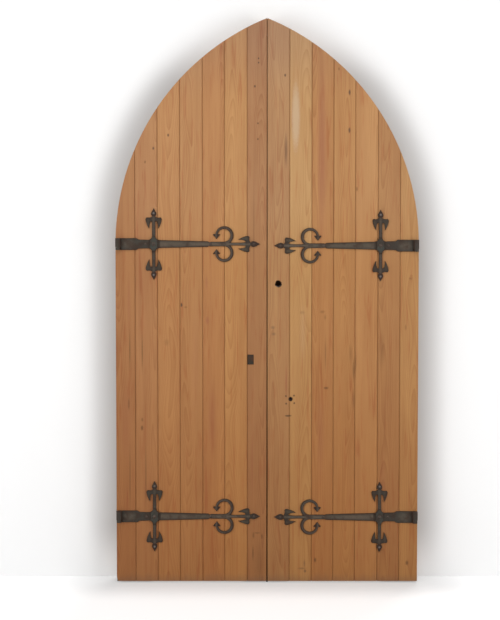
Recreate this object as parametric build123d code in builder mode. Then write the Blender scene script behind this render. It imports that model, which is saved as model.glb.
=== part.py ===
# A pair of pointed-arch boarded door leaves on an arched timber frame, in millimetres.
# X runs to the right, Y from the front to the back, Z up. The leaves meet at X = 0.
from build123d import *
from math import acos, cos, sin, sqrt
import os

os.makedirs("parts", exist_ok=True)

# Arch and leaves
half_width = 655.0            # meeting line to a leaf's outer edge
spring_z = 1473.0             # height where the arch starts
arch_rise = 971.0             # spring line to the point of the arch
leaf_bottom = 6.0             # gap between a leaf and the floor
meeting_gap_top = 2.0
meeting_gap_bottom = 5.0
worn_corner = {"left": 20.0, "right": 4.0}

# Matchboards: widths from the meeting line outwards, fitted together to the leaf's width
board_widths = {
    "left": [86.0, 98.0, 95.0, 98.0, 97.0, 97.0, 84.0],
    "right": [97.0, 96.0, 94.0, 94.0, 98.0, 96.0, 80.0],
}
board_thick = 22.0
board_joint = 0.6             # open joint left by shrinkage
vee = 2.6                     # chamfer on each board edge
tongue_length = 7.0
tongue_thick = 6.0
tongue_setback = 8.0          # from the board's face to the tongue
groove_clear = 0.4

# Framing on the back of each leaf
framing_thick = 35.0
hanging_stile_width = 90.0
meeting_stile_width = 85.0
meeting_set_back = 7.0        # stile edge to the meeting line
stile_top = 1570.0            # joint between hanging stile and curved head
rail_height = {"bottom_rail": 200.0, "lock_rail": 200.0, "top_rail": 140.0, "collar_rail": 100.0}
rail_centre = {"bottom_rail": 290.0, "lock_rail": 850.0, "top_rail": 1472.0, "collar_rail": 1955.0}
tenon_length = 60.0
tenon_thick = 12.0
tenon_shoulder = 25.0         # above and below each tenon
stile_tenon_width = 36.0
stile_tenon_height = 45.0
joint_clear = 0.25
peg_radius = 5.0
peg_spread = 0.25             # peg from a tenon's centre, as a share of the tenon's height
two_peg_height = 60.0         # a tenon this high has two pegs
brace_foot = 120.0            # width of a brace along the rail

# Frame behind the leaves
frame_width = 60.0
frame_depth = 70.0
frame_gap = 3.0               # back of the boards to the frame's face
frame_margin = 1.0            # the frame's outline beyond the leaves' edge
frame_clear = 4.0             # leaf framing to the frame's inner side
frame_joint_z = 1600.0        # top of the jambs
frame_tenon_height = 50.0
frame_tenon_thick = 24.0
frame_tenon_width = 28.0
frame_peg_radius = 6.0
crown_dowel_radius = 7.0
crown_dowel_length = 60.0
crown_dowel_drop = 45.0       # below the point of the frame
crown_dowel_offset = 17.5     # from the middle of the frame's depth
wall_hole_radius = 5.5
wall_hole_heights = [400.0, 1100.0]

# Strap hinges: u runs from the leaf's outer edge along the strap, v across it
strap_heights = {"left": {"upper": 1476.0, "lower": 291.5}, "right": {"upper": 1469.0, "lower": 288.5}}
strap_thick = 6.0
plate_length = 90.5
plate_height = 51.0
shoulder_length = 10.0
strap_root_height = 38.5
strap_end_height = 24.0
strap_tip_gap = 30.0          # strap's tip to the meeting line
neck_back = 80.0              # waist of the leaf-shaped end to the neck
scroll_back = 113.5           # waist to the scrolls' centre
heart_back = 147.5            # waist to the hearts
nick_back = 179.0             # waist to the nick where the tail starts
nick_height = 16.0
nick_run = 7.0
tail_height = 20.0
neck_height = 12.0
neck_taper = 15.0
iron_edge = 1.4               # hammered front edges

# Scrolls beside the strap's tail
scroll_v = 37.5
scroll_radius = 39.5
scroll_bore = 27.5
scroll_shift = 1.5            # makes the band narrow towards its end
scroll_end_v = 37.5
heart_tip_v = 22.0
heart_notch_v = 41.0
heart_lobe_v = 45.0
heart_lobe_radius = 2.5
heart_half_width = 19.0

# Rolled eye and pintle
eye_radius = 12.0
pin_radius = 6.0
pin_clear = 0.05
pin_top_drop = 1.0
shoulder_height = 12.0        # part of the plate's height taken by the pintle's boss
shoulder_clear = 0.3
boss_radius = 11.0
boss_clear = 3.0
arm_half = 5.0                # half the width of the pintle's arm
notch_clear = 0.4             # arm to the notch in the leaf's edge
tang_radius = 5.0
tang_length = 55.0            # driven into the jamb

# Cross bar and leaf-shaped ends
cross_u = 165.5
cross_half_shaft = 7.25
cross_waist_v = 120.0
cross_lift = 5.0              # boss riding over the strap
strap_clear = 0.4

# Flared boss at the crossing: places along the strap and across it, from its middle
boss_corner = (22.5, 18.0)
boss_flank = (12.5, 22.5)     # middle of the hollow between strap and arm
boss_arm = (7.25, 35.0)
boss_end = (17.0, 0.0)        # bottom of the hollow over the strap
boss_end_flank = (18.4, 9.0)
boss_edge = 2.6

# Leaf-shaped end: places along the bar from its waist, and out from its middle
waist_half = 6.0
waist_lap = 6.0               # the bud's root in the petals
bud_flank = (0.52, 0.55)      # middle of a flank, as shares of its run and of the belly
cross_bud_length = 34.5
cross_bud_belly = (11.0, 11.5)
strap_bud_length = 41.0
strap_bud_belly = (13.0, 12.5)
petal_root = 17.0             # where the shaft ends in the petals
petal_foot = 22.5
petal_dip = (-5.5, 15.5)
petal_crest = (-5.0, 28.5)
petal_cheek = (-8.8, 33.4)
petal_side = (-15.0, 35.0)
petal_back = (-32.0, 30.5)
petal_point = (-54.0, 19.0)
petal_hollow = (-37.0, 18.0)
petal_armpit = (-23.0, 14.0)

# Fixings
plate_bolt_u = 130.0
plate_bolt_head = 5.0         # radius
boss_bolt_head = 8.0
tail_bolt_back = 173.0        # waist to the bolt beside the nick
tail_bolt_head = 6.5
bolt_radius = 4.0
head_rise = 0.55              # height of a head over its radius
bolt_tail = 4.0               # thread beyond the nut
hole_clear = 0.15
washer_radius = 11.0
washer_thick = 2.0
nut_side = 13.0
nut_thick = 6.5
screw_radius = 2.2
screw_head = 5.0
screw_length = 21.0
tip_screw_rise = 14.0         # waist to the screw in a strap's bud
cross_screw_v = 133.0

# Old fittings
spindle_x = 48.5
spindle_z = 1304.0
spindle_radius = 12.5
spare_hole_x = 102.0
spare_hole_z = 804.0
spare_hole_radius = 6.0
keeper_x = -71.5
keeper_z = 976.0
keeper_width = 27.0
keeper_height = 43.0
keeper_thick = 2.5

sides = {"left": -1, "right": 1}
backward = (0, 1, 0)

arch_radius = (arch_rise**2 + half_width**2) / (2 * half_width)
centre_x = arch_radius - half_width
overall_depth = 2 * eye_radius + board_thick + frame_gap + frame_depth
face_y = 2 * eye_radius - overall_depth / 2
framing_y = face_y + board_thick
leaf_depth = board_thick + framing_thick
frame_y = framing_y + frame_gap
frame_middle_y = frame_y + frame_depth / 2
frame_side = half_width + frame_margin
pin_x = half_width - eye_radius
pin_y = face_y - eye_radius
framing_inset = frame_width - frame_margin + frame_clear
stile_inset = framing_inset + hanging_stile_width
stile_inner_x = half_width - stile_inset
meeting_stile_x = meeting_set_back + meeting_stile_width
tip_waist_u = half_width - strap_tip_gap - strap_bud_length
neck_u = tip_waist_u - neck_back
scroll_u = tip_waist_u - scroll_back
heart_u = tip_waist_u - heart_back
nick_u = tip_waist_u - nick_back
tip_screw_u = tip_waist_u + tip_screw_rise
bolt_heads = {
    plate_bolt_u: plate_bolt_head,
    cross_u: boss_bolt_head,
    tip_waist_u - tail_bolt_back: tail_bolt_head,
}


def save(piece, name):
    piece.part.label = name
    export_step(piece.part, f"parts/{name}.step")


# The upright plane at a depth: X to the right, Z up.
def upright(y):
    return Plane.XZ.offset(-y)


# The plane of a leaf's face at a strap: u from the outer edge, v across, forward out.
def strap_plane(side, height):
    return Plane((side * half_width, face_y, height), x_dir=(-side, 0, 0), z_dir=(0, -1, 0))


# The plane of the frame's outer side: side * Y and Z, outward out.
def flank_plane(side, x):
    return Plane((side * x, 0, 0), x_dir=(0, side, 0), z_dir=(side, 0, 0))


# Height of the arch above the floor at a distance from the meeting line.
def arch_z(inset, x=0.0):
    return spring_z + sqrt((arch_radius - inset) ** 2 - (centre_x + x) ** 2)


# Distance of the arch from the meeting line at a height.
def arch_x(inset, z):
    return sqrt((arch_radius - inset) ** 2 - max(z - spring_z, 0) ** 2) - centre_x


# Half of the pointed arch with its edge set in, from a bottom height to the apex.
def arch_half(side, inset, bottom, y):
    radius = arch_radius - inset
    edge = side * (half_width - inset)
    middle = acos(centre_x / radius) / 2
    haunch = (side * (radius * cos(middle) - centre_x), spring_z + radius * sin(middle))
    with BuildSketch(upright(y)) as half:
        with BuildLine():
            Polyline((0, arch_z(inset)), (0, bottom), (edge, bottom), (edge, spring_z))
            ThreePointArc((edge, spring_z), haunch, (0, arch_z(inset)))
        make_face()
    return half.sketch


# A rectangle between two distances from the meeting line and two heights.
def window(side, near, far, low, high, y):
    with BuildSketch(upright(y)) as area:
        with Locations((side * (near + far) / 2, (low + high) / 2)):
            Rectangle(far - near, high - low)
    return area.sketch


# Round holes or pegs seen from the front.
def rounds(places, y):
    with BuildSketch(upright(y)) as pattern:
        for x, z, radius in places:
            with Locations((x, z)):
                Circle(radius)
    return pattern.sketch


# The places that touch an upright box.
def within(places, x_low, x_high, z_low, z_high):
    return [
        (x, z, r) for x, z, r in places
        if x_low < x + r and x - r < x_high and z_low < z + r and z - r < z_high
    ]


# Holes drilled through a whole leaf.
def through_holes(hand):
    side = sides[hand]
    radius = bolt_radius + hole_clear
    heights = strap_heights[hand].values()
    places = [(side * (half_width - u), z, radius) for z in heights for u in bolt_heads]
    if hand == "right":
        places.append((spindle_x, spindle_z, spindle_radius))
        places.append((spare_hole_x, spare_hole_z, spare_hole_radius))
    return places


# Screws of the cross bars and strap tips, as points on the strap's plane.
def screw_points():
    return [(tip_screw_u, 0.0), (cross_u, cross_screw_v), (cross_u, -cross_screw_v)]


def screw_holes(hand):
    side = sides[hand]
    radius = screw_radius + hole_clear
    return [
        (side * (half_width - u), z - side * v, radius)
        for z in strap_heights[hand].values() for u, v in screw_points()
    ]


def pintle_low(hand, level):
    return strap_heights[hand][level] - plate_height / 2


# The notch in a leaf's edge that lets a pintle's arm through to the jamb.
def pintle_notch(hand, level):
    low = pintle_low(hand, level)
    near = pin_x - arm_half - notch_clear
    return window(sides[hand], near, half_width, low - notch_clear, low + shoulder_height, face_y)


# One tongued and grooved matchboard, cut to the arch at its top.
def make_board(hand, index, inner, outer, last):
    side = sides[hand]
    near = meeting_gap_top / 2 if index == 1 else inner + board_joint / 2
    far = outer if last else outer - board_joint / 2
    middle = (near + far) / 2
    top = arch_z(0)
    outline = arch_half(side, 0, leaf_bottom, face_y)
    bounds = sorted([side * near, side * (far + tongue_length)])
    drilled = within(through_holes(hand), *bounds, leaf_bottom, top)
    screwed = within(screw_holes(hand), *bounds, leaf_bottom, top)
    drill_shape = rounds(drilled, face_y) if drilled else None
    screw_shape = rounds(screwed, face_y) if screwed else None
    with BuildPart() as board:
        with BuildSketch(Plane.XY.offset(leaf_bottom)) as section:
            with Locations((side * middle, face_y + board_thick / 2)):
                Rectangle(far - near, board_thick)
            front = section.vertices().group_by(Axis.Y)[0].sort_by(lambda v: abs(v.X))
            chamfer(front[0:1] if last else front, vee)
            tongue_y = face_y + tongue_setback + tongue_thick / 2
            if not last:
                reach = far + tongue_length - middle
                with Locations((side * (middle + reach / 2), tongue_y)):
                    Rectangle(reach, tongue_thick)
            if index > 1:
                depth = tongue_length + groove_clear
                with Locations((side * (near + depth / 2), tongue_y)):
                    Rectangle(depth, tongue_thick + 2 * groove_clear, mode=Mode.SUBTRACT)
        extrude(amount=top - leaf_bottom)
        extrude(outline, amount=board_thick, dir=backward, mode=Mode.INTERSECT)
        if index == 1:
            with BuildSketch(upright(face_y)):
                with BuildLine():
                    Polyline(
                        (0, top), (side * meeting_gap_top / 2, top),
                        (side * meeting_gap_bottom / 2, leaf_bottom), (0, leaf_bottom), close=True,
                    )
                make_face()
            extrude(amount=board_thick, dir=backward, mode=Mode.SUBTRACT)
        if last:
            corner = board.edges().filter_by(Axis.Y).group_by(Axis.Z)[0]
            fillet(corner.sort_by(lambda e: abs(e.center().X))[-1], worn_corner[hand])
            for level in strap_heights[hand]:
                extrude(pintle_notch(hand, level), amount=board_thick, dir=backward, mode=Mode.SUBTRACT)
        if drill_shape:
            extrude(drill_shape, amount=board_thick, dir=backward, mode=Mode.SUBTRACT)
        if screw_shape:
            extrude(screw_shape, amount=screw_length - strap_thick, dir=backward, mode=Mode.SUBTRACT)
    save(board, f"{hand}_board_{index}")


def make_boards(hand):
    widths = board_widths[hand]
    inner = 0.0
    for index, width in enumerate(widths, start=1):
        outer = inner + width * half_width / sum(widths)
        make_board(hand, index, inner, outer, index == len(widths))
        inner = outer


# Tenons of one leaf as boxes: which timber has it, which takes it, near, far, low and high.
def leaf_tenons():
    tenons = []
    for rail, height in rail_height.items():
        low = rail_centre[rail] - height / 2 + tenon_shoulder
        high = rail_centre[rail] + height / 2 - tenon_shoulder
        near = arch_x(stile_inset + joint_clear, high) - joint_clear
        far = arch_x(stile_inset, rail_centre[rail]) + tenon_length
        holder = "hanging_stile" if rail_centre[rail] < stile_top else "curved_head"
        tenons.append((rail, "meeting_stile", meeting_stile_x - tenon_length, meeting_stile_x, low, high))
        tenons.append((rail, holder, near, far, low, high))
    head_low = arch_z(stile_inset, meeting_stile_x) + tenon_shoulder
    head_high = arch_z(framing_inset, meeting_stile_x) - tenon_shoulder
    root = meeting_stile_x - tenon_length
    tenons.append(("curved_head", "meeting_stile", root, meeting_stile_x, head_low, head_high))
    middle = arch_x(framing_inset + hanging_stile_width / 2, stile_top + stile_tenon_height / 2)
    near = middle - stile_tenon_width / 2
    top = stile_top + stile_tenon_height
    tenons.append(("hanging_stile", "curved_head", near, near + stile_tenon_width, stile_top, top))
    return tenons


def peg_places(side, radius):
    places = []
    for _, _, near, far, low, high in leaf_tenons():
        middle = (low + high) / 2
        drop = (high - low) * peg_spread if high - low > two_peg_height else 0.0
        for z in {middle - drop, middle + drop}:
            places.append((side * (far - min(far - near, tenon_length) / 2), z, radius))
    return sorted(places)


# One framing timber: its blank, trimmed, with its tenons, mortices and holes.
def make_timber(hand, name, blank, keeps, cuts):
    side = sides[hand]
    tenon_y = framing_y + (framing_thick - tenon_thick) / 2
    slack = joint_clear
    tenons = [window(side, *box, tenon_y) for owner, _, *box in leaf_tenons() if owner == name]
    mortices = [
        window(side, near - slack, far + slack, low - slack, high + slack, tenon_y - slack)
        for _, taker, near, far, low, high in leaf_tenons() if taker == name
    ]
    with BuildPart() as timber:
        extrude(blank, amount=framing_thick, dir=backward)
        for keep in keeps:
            extrude(keep, amount=framing_thick, dir=backward, mode=Mode.INTERSECT)
        for cut in cuts:
            extrude(cut, amount=framing_thick, dir=backward, mode=Mode.SUBTRACT)
        for tenon in tenons:
            extrude(tenon, amount=tenon_thick, dir=backward)
        for mortice in mortices:
            extrude(mortice, amount=tenon_thick + 2 * slack, dir=backward, mode=Mode.SUBTRACT)
    box = timber.part.bounding_box()
    places = through_holes(hand) + peg_places(side, peg_radius + hole_clear)
    drilled = within(places, box.min.X, box.max.X, box.min.Z, box.max.Z)
    if drilled:
        holes = rounds(drilled, framing_y)
        with timber:
            extrude(holes, amount=framing_thick, dir=backward, mode=Mode.SUBTRACT)
    save(timber, f"{hand}_{name}")


def make_framing(hand):
    side = sides[hand]
    y = framing_y
    top = arch_z(framing_inset)
    inside = arch_half(side, stile_inset, leaf_bottom, y)
    whole = arch_half(side, framing_inset, leaf_bottom, y)
    below = window(side, 0, half_width, leaf_bottom, stile_top, y)
    above = window(side, meeting_stile_x, half_width, stile_top, top, y)
    meeting = window(side, meeting_set_back, meeting_stile_x, leaf_bottom, top, y)
    make_timber(hand, "hanging_stile", whole, [below], [inside])
    make_timber(hand, "curved_head", whole, [above], [inside])
    make_timber(hand, "meeting_stile", whole, [meeting], [])
    fitted = arch_half(side, stile_inset + joint_clear, leaf_bottom, y)
    for rail, height in rail_height.items():
        low = rail_centre[rail] - height / 2
        blank = window(side, meeting_stile_x, stile_inner_x, low, low + height, y)
        keeps = [fitted] if low + height > spring_z else []
        make_timber(hand, rail, blank, keeps, [])
    make_timber(hand, "lower_brace", brace_blank(side, "bottom_rail", "lock_rail"), [], [])
    make_timber(hand, "upper_brace", brace_blank(side, "lock_rail", "top_rail"), [], [])
    make_pegs(hand)


# A brace rising from the hanging side of one rail to the meeting side of the next.
def brace_blank(side, lower, upper):
    low = rail_centre[lower] + rail_height[lower] / 2
    high = rail_centre[upper] - rail_height[upper] / 2
    with BuildSketch(upright(framing_y)) as blank:
        with BuildLine():
            Polyline(
                (side * stile_inner_x, low), (side * (stile_inner_x - brace_foot), low),
                (side * meeting_stile_x, high), (side * (meeting_stile_x + brace_foot), high),
                close=True,
            )
        make_face()
    return blank.sketch


def make_pegs(hand):
    shape = rounds(peg_places(sides[hand], peg_radius), framing_y)
    with BuildPart() as pegs:
        extrude(shape, amount=framing_thick, dir=backward)
    save(pegs, f"{hand}_leaf_pegs")


# Tenon on top of each jamb, as near, far, low and high.
def frame_tenon():
    middle = arch_x(frame_width / 2 - frame_margin, frame_joint_z + frame_tenon_height / 2)
    near = middle - frame_tenon_width / 2
    return near, near + frame_tenon_width, frame_joint_z, frame_joint_z + frame_tenon_height


def frame_peg_place(side):
    near, far, low, high = frame_tenon()
    return side * (near + far) / 2, (low + high) / 2


def crown_dowel_places(side):
    z = arch_z(-frame_margin) - crown_dowel_drop
    return [(side * (frame_middle_y + offset), z) for offset in (-crown_dowel_offset, crown_dowel_offset)]


# Holes for the pintles' tangs in the face of a jamb.
def tang_places(hand, radius):
    middle = (shoulder_height - shoulder_clear) / 2
    return [(sides[hand] * pin_x, pintle_low(hand, level) + middle, radius) for level in strap_heights[hand]]


# An upright jamb and, on its top, one curved half of the arched head.
def make_frame_side(hand):
    side = sides[hand]
    outer = arch_half(side, -frame_margin, 0, frame_y)
    inner = arch_half(side, frame_width - frame_margin, 0, frame_y)
    top = arch_z(-frame_margin)
    below = window(side, 0, frame_side, 0, frame_joint_z, frame_y)
    above = window(side, 0, frame_side, frame_joint_z, top, frame_y)
    near, far, low, high = frame_tenon()
    slack = joint_clear
    tenon_y = frame_y + (frame_depth - frame_tenon_thick) / 2
    tenon = window(side, near, far, low, high, tenon_y)
    mortice = window(side, near - slack, far + slack, low, high + slack, tenon_y - slack)
    peg_hole = rounds([(*frame_peg_place(side), frame_peg_radius + hole_clear)], frame_y)
    tang_holes = rounds(tang_places(hand, tang_radius + hole_clear), frame_y)
    with BuildPart() as jamb:
        extrude(outer, amount=frame_depth, dir=backward)
        extrude(inner, amount=frame_depth, dir=backward, mode=Mode.SUBTRACT)
        extrude(below, amount=frame_depth, dir=backward, mode=Mode.INTERSECT)
        extrude(tenon, amount=frame_tenon_thick, dir=backward)
        extrude(peg_hole, amount=frame_depth, dir=backward, mode=Mode.SUBTRACT)
        with BuildSketch(flank_plane(side, frame_side)):
            with Locations(*[(side * frame_middle_y, z) for z in wall_hole_heights]):
                Circle(wall_hole_radius)
        extrude(amount=-frame_width, mode=Mode.SUBTRACT)
        extrude(tang_holes, amount=tang_length + joint_clear, dir=backward, mode=Mode.SUBTRACT)
    save(jamb, f"{hand}_jamb")
    with BuildPart() as head:
        extrude(outer, amount=frame_depth, dir=backward)
        extrude(inner, amount=frame_depth, dir=backward, mode=Mode.SUBTRACT)
        extrude(above, amount=frame_depth, dir=backward, mode=Mode.INTERSECT)
        extrude(mortice, amount=frame_tenon_thick + 2 * slack, dir=backward, mode=Mode.SUBTRACT)
        extrude(peg_hole, amount=frame_depth, dir=backward, mode=Mode.SUBTRACT)
        with BuildSketch(flank_plane(side, 0)):
            with Locations(*crown_dowel_places(side)):
                Circle(crown_dowel_radius + hole_clear)
        extrude(amount=crown_dowel_length / 2 + joint_clear, mode=Mode.SUBTRACT)
    save(head, f"{hand}_frame_head")


# Draw pegs of the jamb joints and the dowels across the crown.
def make_frame_pegs():
    places = [(*frame_peg_place(side), frame_peg_radius) for side in sides.values()]
    shape = rounds(places, frame_y)
    with BuildPart() as pegs:
        extrude(shape, amount=frame_depth, dir=backward)
        with BuildSketch(flank_plane(1, 0)):
            with Locations(*crown_dowel_places(1)):
                Circle(crown_dowel_radius)
        extrude(amount=crown_dowel_length / 2, both=True)
    save(pegs, "frame_pegs")


# A forged pintle: pin and boss in front of the leaf, arm through its notch, tang in the jamb.
def make_pintle(hand, level):
    side = sides[hand]
    base = Plane.XY.offset(pintle_low(hand, level))
    tang = [place for place in tang_places(hand, tang_radius) if abs(place[1] - base.origin.Z) < plate_height]
    with BuildPart() as pintle:
        with BuildSketch(base):
            with Locations((side * pin_x, pin_y)):
                Circle(boss_radius)
            with Locations((side * pin_x, (pin_y + frame_y) / 2)):
                Rectangle(2 * arm_half, frame_y - pin_y)
        extrude(amount=shoulder_height - shoulder_clear)
        with BuildSketch(base):
            with Locations((side * pin_x, pin_y)):
                Circle(pin_radius)
        extrude(amount=plate_height - pin_top_drop)
        chamfer(pintle.faces().sort_by(Axis.Z)[-1].edges(), pin_top_drop)
        extrude(rounds(tang, frame_y), amount=tang_length, dir=backward)
    save(pintle, f"{hand}_{level}_pintle")


# The pointed bud at the end of a strap or cross bar, along X from its waist.
def bud_face(length, belly):
    flank = (belly[0] + bud_flank[0] * (length - belly[0]), bud_flank[1] * belly[1])
    with BuildSketch() as face:
        with BuildLine():
            Polyline((-waist_lap, 0), (-waist_lap, waist_half), (0, waist_half))
            Spline((0, waist_half), belly, flank, (length, 0))
            mirror(about=Plane.XZ)
        make_face()
    return face.sketch


# The pair of petals behind the bud, drooping back to two points.
def petal_face():
    with BuildSketch() as face:
        with BuildLine():
            Line((0, 0), (0, waist_half))
            ThreePointArc((0, waist_half), petal_dip, petal_crest)
            ThreePointArc(petal_crest, petal_cheek, petal_side)
            ThreePointArc(petal_side, petal_back, petal_point)
            ThreePointArc(petal_point, petal_hollow, petal_armpit)
            Polyline(petal_armpit, (-petal_foot, cross_half_shaft), (-petal_foot, 0))
            mirror(about=Plane.XZ)
        make_face()
    return face.sketch


# One C-shaped scroll: a ring between two circles off centre, open at its end.
def scroll_face():
    cut_height = scroll_end_v + scroll_radius
    with BuildSketch() as face:
        with Locations((scroll_u, scroll_v)):
            Circle(scroll_radius)
        with Locations((scroll_u - scroll_shift, scroll_v)):
            Circle(scroll_bore, mode=Mode.SUBTRACT)
        with Locations((scroll_u - scroll_radius, scroll_end_v - cut_height / 2)):
            Rectangle(2 * scroll_radius, cut_height, mode=Mode.SUBTRACT)
    return face.sketch


# The heart at a scroll's end, pointing at the strap.
def heart_face():
    with BuildSketch() as face:
        with BuildLine():
            Polyline(
                (heart_u, heart_tip_v), (heart_u + heart_half_width, heart_lobe_v),
                (heart_u, heart_notch_v), (heart_u - heart_half_width, heart_lobe_v), close=True,
            )
        make_face()
        lobes = face.vertices().filter_by(lambda v: abs(v.X - heart_u) > heart_half_width / 2)
        fillet(lobes, heart_lobe_radius)
    return face.sketch


# Outline of the strap from its plate to the neck, without scrolls.
def strap_face():
    plate = plate_height / 2
    tail = tail_height / 2
    with BuildSketch() as face:
        with BuildLine():
            Polyline(
                (eye_radius, 0), (eye_radius, plate), (plate_length, plate),
                (plate_length + shoulder_length, strap_root_height / 2),
                (nick_u - nick_run, strap_end_height / 2), (nick_u, nick_height / 2),
                (nick_u + nick_run, tail), (neck_u - neck_taper, tail), (neck_u, neck_height / 2),
                (tip_waist_u + petal_point[0], neck_height / 2),
                (tip_waist_u - petal_root, cross_half_shaft), (tip_waist_u, waist_half), (tip_waist_u, 0),
            )
            mirror(about=Plane.XZ)
        make_face()
    return face.sketch


# Half the strap's height between its shoulder and its nick.
def strap_half(u):
    start = plate_length + shoulder_length
    share = (u - start) / (nick_u - nick_run - start)
    return (strap_root_height + share * (strap_end_height - strap_root_height)) / 2


# Four hollow flanks between strap and arms, and a hollow end at each side over the strap.
def boss_face():
    with BuildSketch() as face:
        with BuildLine():
            ThreePointArc(boss_end, boss_end_flank, boss_corner)
            ThreePointArc(boss_corner, boss_flank, boss_arm)
            Line(boss_arm, (0, boss_arm[1]))
            mirror(about=Plane.YZ)
            mirror(about=Plane.XZ)
        make_face()
    return face.sketch


# One arm of the cross bar, along Y from its flared foot beside the strap to the petals' root.
def cross_arm_face():
    start = strap_half(cross_u - boss_corner[0]) + strap_clear
    end = cross_waist_v - petal_root
    with BuildSketch() as face:
        add(boss_face())
        with Locations((0, end / 2)):
            Rectangle(2 * cross_half_shaft, end)
        with Locations((0, start - boss_arm[1])):
            Rectangle(2 * boss_arm[1], 2 * boss_arm[1], mode=Mode.SUBTRACT)
    return face.sketch


# A flat forged shape lying on the plane of the boards, its front edges worked down.
def forge(face, thick, edge=iron_edge):
    with BuildPart() as blank:
        extrude(face, amount=thick)
        chamfer(blank.faces().sort_by(Axis.Z)[-1].edges(), edge)
    return blank.part


# A strap hinge forged as one piece: rolled eye, plate, strap, scrolls and leaf-shaped tip.
def make_strap(hand, level):
    side = sides[hand]
    height = strap_heights[hand][level]
    plane = strap_plane(side, height)
    low = height - plate_height / 2
    with BuildPart() as strap:
        with Locations(plane):
            add(strap_shapes)
            with Locations((tip_waist_u, 0)):
                add([petals, strap_bud])
        with BuildSketch(Plane.XY.offset(low)):
            with Locations((side * pin_x, pin_y)):
                Circle(eye_radius)
        extrude(amount=plate_height)
        with BuildSketch(Plane.XY.offset(low)):
            with Locations((side * pin_x, pin_y)):
                Circle(boss_radius + boss_clear)
        extrude(amount=shoulder_height, mode=Mode.SUBTRACT)
        with BuildSketch(Plane.XY.offset(low)):
            with Locations((side * pin_x, pin_y)):
                Circle(pin_radius + pin_clear)
        extrude(amount=plate_height, mode=Mode.SUBTRACT)
        with BuildSketch(plane):
            with Locations(*[(u, 0) for u in bolt_heads]):
                Circle(bolt_radius + hole_clear)
            with Locations((tip_screw_u, 0)):
                Circle(screw_radius + hole_clear)
        extrude(amount=strap_thick, mode=Mode.SUBTRACT)
    save(strap, f"{hand}_{level}_strap")


# The cross bar: arms lying on the boards and a hollow-sided boss riding over the strap.
def make_cross_bar(hand, level):
    plane = strap_plane(sides[hand], strap_heights[hand][level])
    with BuildPart() as bar:
        with Locations(plane):
            for turn in (90, -90):
                with Locations(Location((cross_u, 0, 0), (0, 0, turn - 90))):
                    add(cross_arm)
                with Locations(Location((cross_u, 0, 0), (0, 0, turn))):
                    with Locations((cross_waist_v, 0)):
                        add([petals, cross_bud])
            with Locations((cross_u, 0, strap_thick)):
                add(boss)
        with BuildSketch(plane):
            with Locations((cross_u, 0)):
                Circle(bolt_radius + hole_clear)
            with Locations((cross_u, cross_screw_v), (cross_u, -cross_screw_v)):
                Circle(screw_radius + hole_clear)
        extrude(amount=strap_thick + cross_lift, mode=Mode.SUBTRACT)
    save(bar, f"{hand}_{level}_cross_bar")


# A round-headed fixing: its head above the origin, its shank below.
def make_stud(head_radius, shank_radius, shank_length):
    rise = head_radius * head_rise
    dome_radius = (head_radius**2 + rise**2) / (2 * rise)
    with BuildPart() as stud:
        with BuildSketch(Plane.XZ):
            with BuildLine():
                Polyline(
                    (0, rise), (0, -shank_length), (shank_radius, -shank_length),
                    (shank_radius, 0), (head_radius, 0),
                )
                RadiusArc((head_radius, 0), (0, rise), -dome_radius)
            make_face()
        revolve(axis=Axis.Z)
    return stud.part


def make_bolts(hand):
    grip = leaf_depth + washer_thick + nut_thick + bolt_tail
    seats = {u: strap_thick + (cross_lift if u == cross_u else 0.0) for u in bolt_heads}
    studs = {u: make_stud(head, bolt_radius, grip + seats[u]) for u, head in bolt_heads.items()}
    with BuildPart() as bolts:
        for height in strap_heights[hand].values():
            with Locations(strap_plane(sides[hand], height)):
                for u, stud in studs.items():
                    with Locations((u, 0, seats[u])):
                        add(stud)
    save(bolts, f"{hand}_leaf_bolts")


def make_nuts(hand):
    with BuildPart() as nuts:
        for height in strap_heights[hand].values():
            plane = strap_plane(sides[hand], height).offset(-leaf_depth)
            with BuildSketch(plane):
                with Locations(*[(u, 0) for u in bolt_heads]):
                    Circle(washer_radius)
                    Circle(bolt_radius + hole_clear, mode=Mode.SUBTRACT)
            extrude(amount=-washer_thick)
            with BuildSketch(plane.offset(-washer_thick)):
                with Locations(*[(u, 0) for u in bolt_heads]):
                    Rectangle(nut_side, nut_side)
                    Circle(bolt_radius + hole_clear, mode=Mode.SUBTRACT)
            extrude(amount=-nut_thick)
    save(nuts, f"{hand}_leaf_nuts")


def make_screws(hand):
    stud = make_stud(screw_head, screw_radius, screw_length)
    with BuildPart() as screws:
        for height in strap_heights[hand].values():
            with Locations(strap_plane(sides[hand], height)):
                with Locations(*[(u, v, strap_thick) for u, v in screw_points()]):
                    add(stud)
    save(screws, f"{hand}_leaf_screws")


def make_keeper():
    with BuildPart() as keeper:
        with BuildSketch(upright(face_y)):
            with Locations((keeper_x, keeper_z)):
                Rectangle(keeper_width, keeper_height)
        extrude(amount=keeper_thick)
        chamfer(keeper.faces().sort_by(Axis.Y)[0].edges(), iron_edge)
    save(keeper, "keeper_plate")


petals = forge(petal_face(), strap_thick)
cross_bud = forge(bud_face(cross_bud_length, cross_bud_belly), strap_thick)
strap_bud = forge(bud_face(strap_bud_length, strap_bud_belly), strap_thick)
boss = forge(boss_face(), cross_lift, boss_edge)
cross_arm = forge(cross_arm_face(), strap_thick)
scroll_shapes = [forge(scroll_face(), strap_thick), forge(heart_face(), strap_thick)]
strap_shapes = [forge(strap_face(), strap_thick), *scroll_shapes]
strap_shapes += [mirror(shape, about=Plane.XZ) for shape in scroll_shapes]

for hand in sides:
    make_boards(hand)
    make_framing(hand)
    make_frame_side(hand)
    make_bolts(hand)
    make_nuts(hand)
    make_screws(hand)
    for level in strap_heights[hand]:
        make_strap(hand, level)
        make_cross_bar(hand, level)
        make_pintle(hand, level)
make_frame_pegs()
make_keeper()
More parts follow.
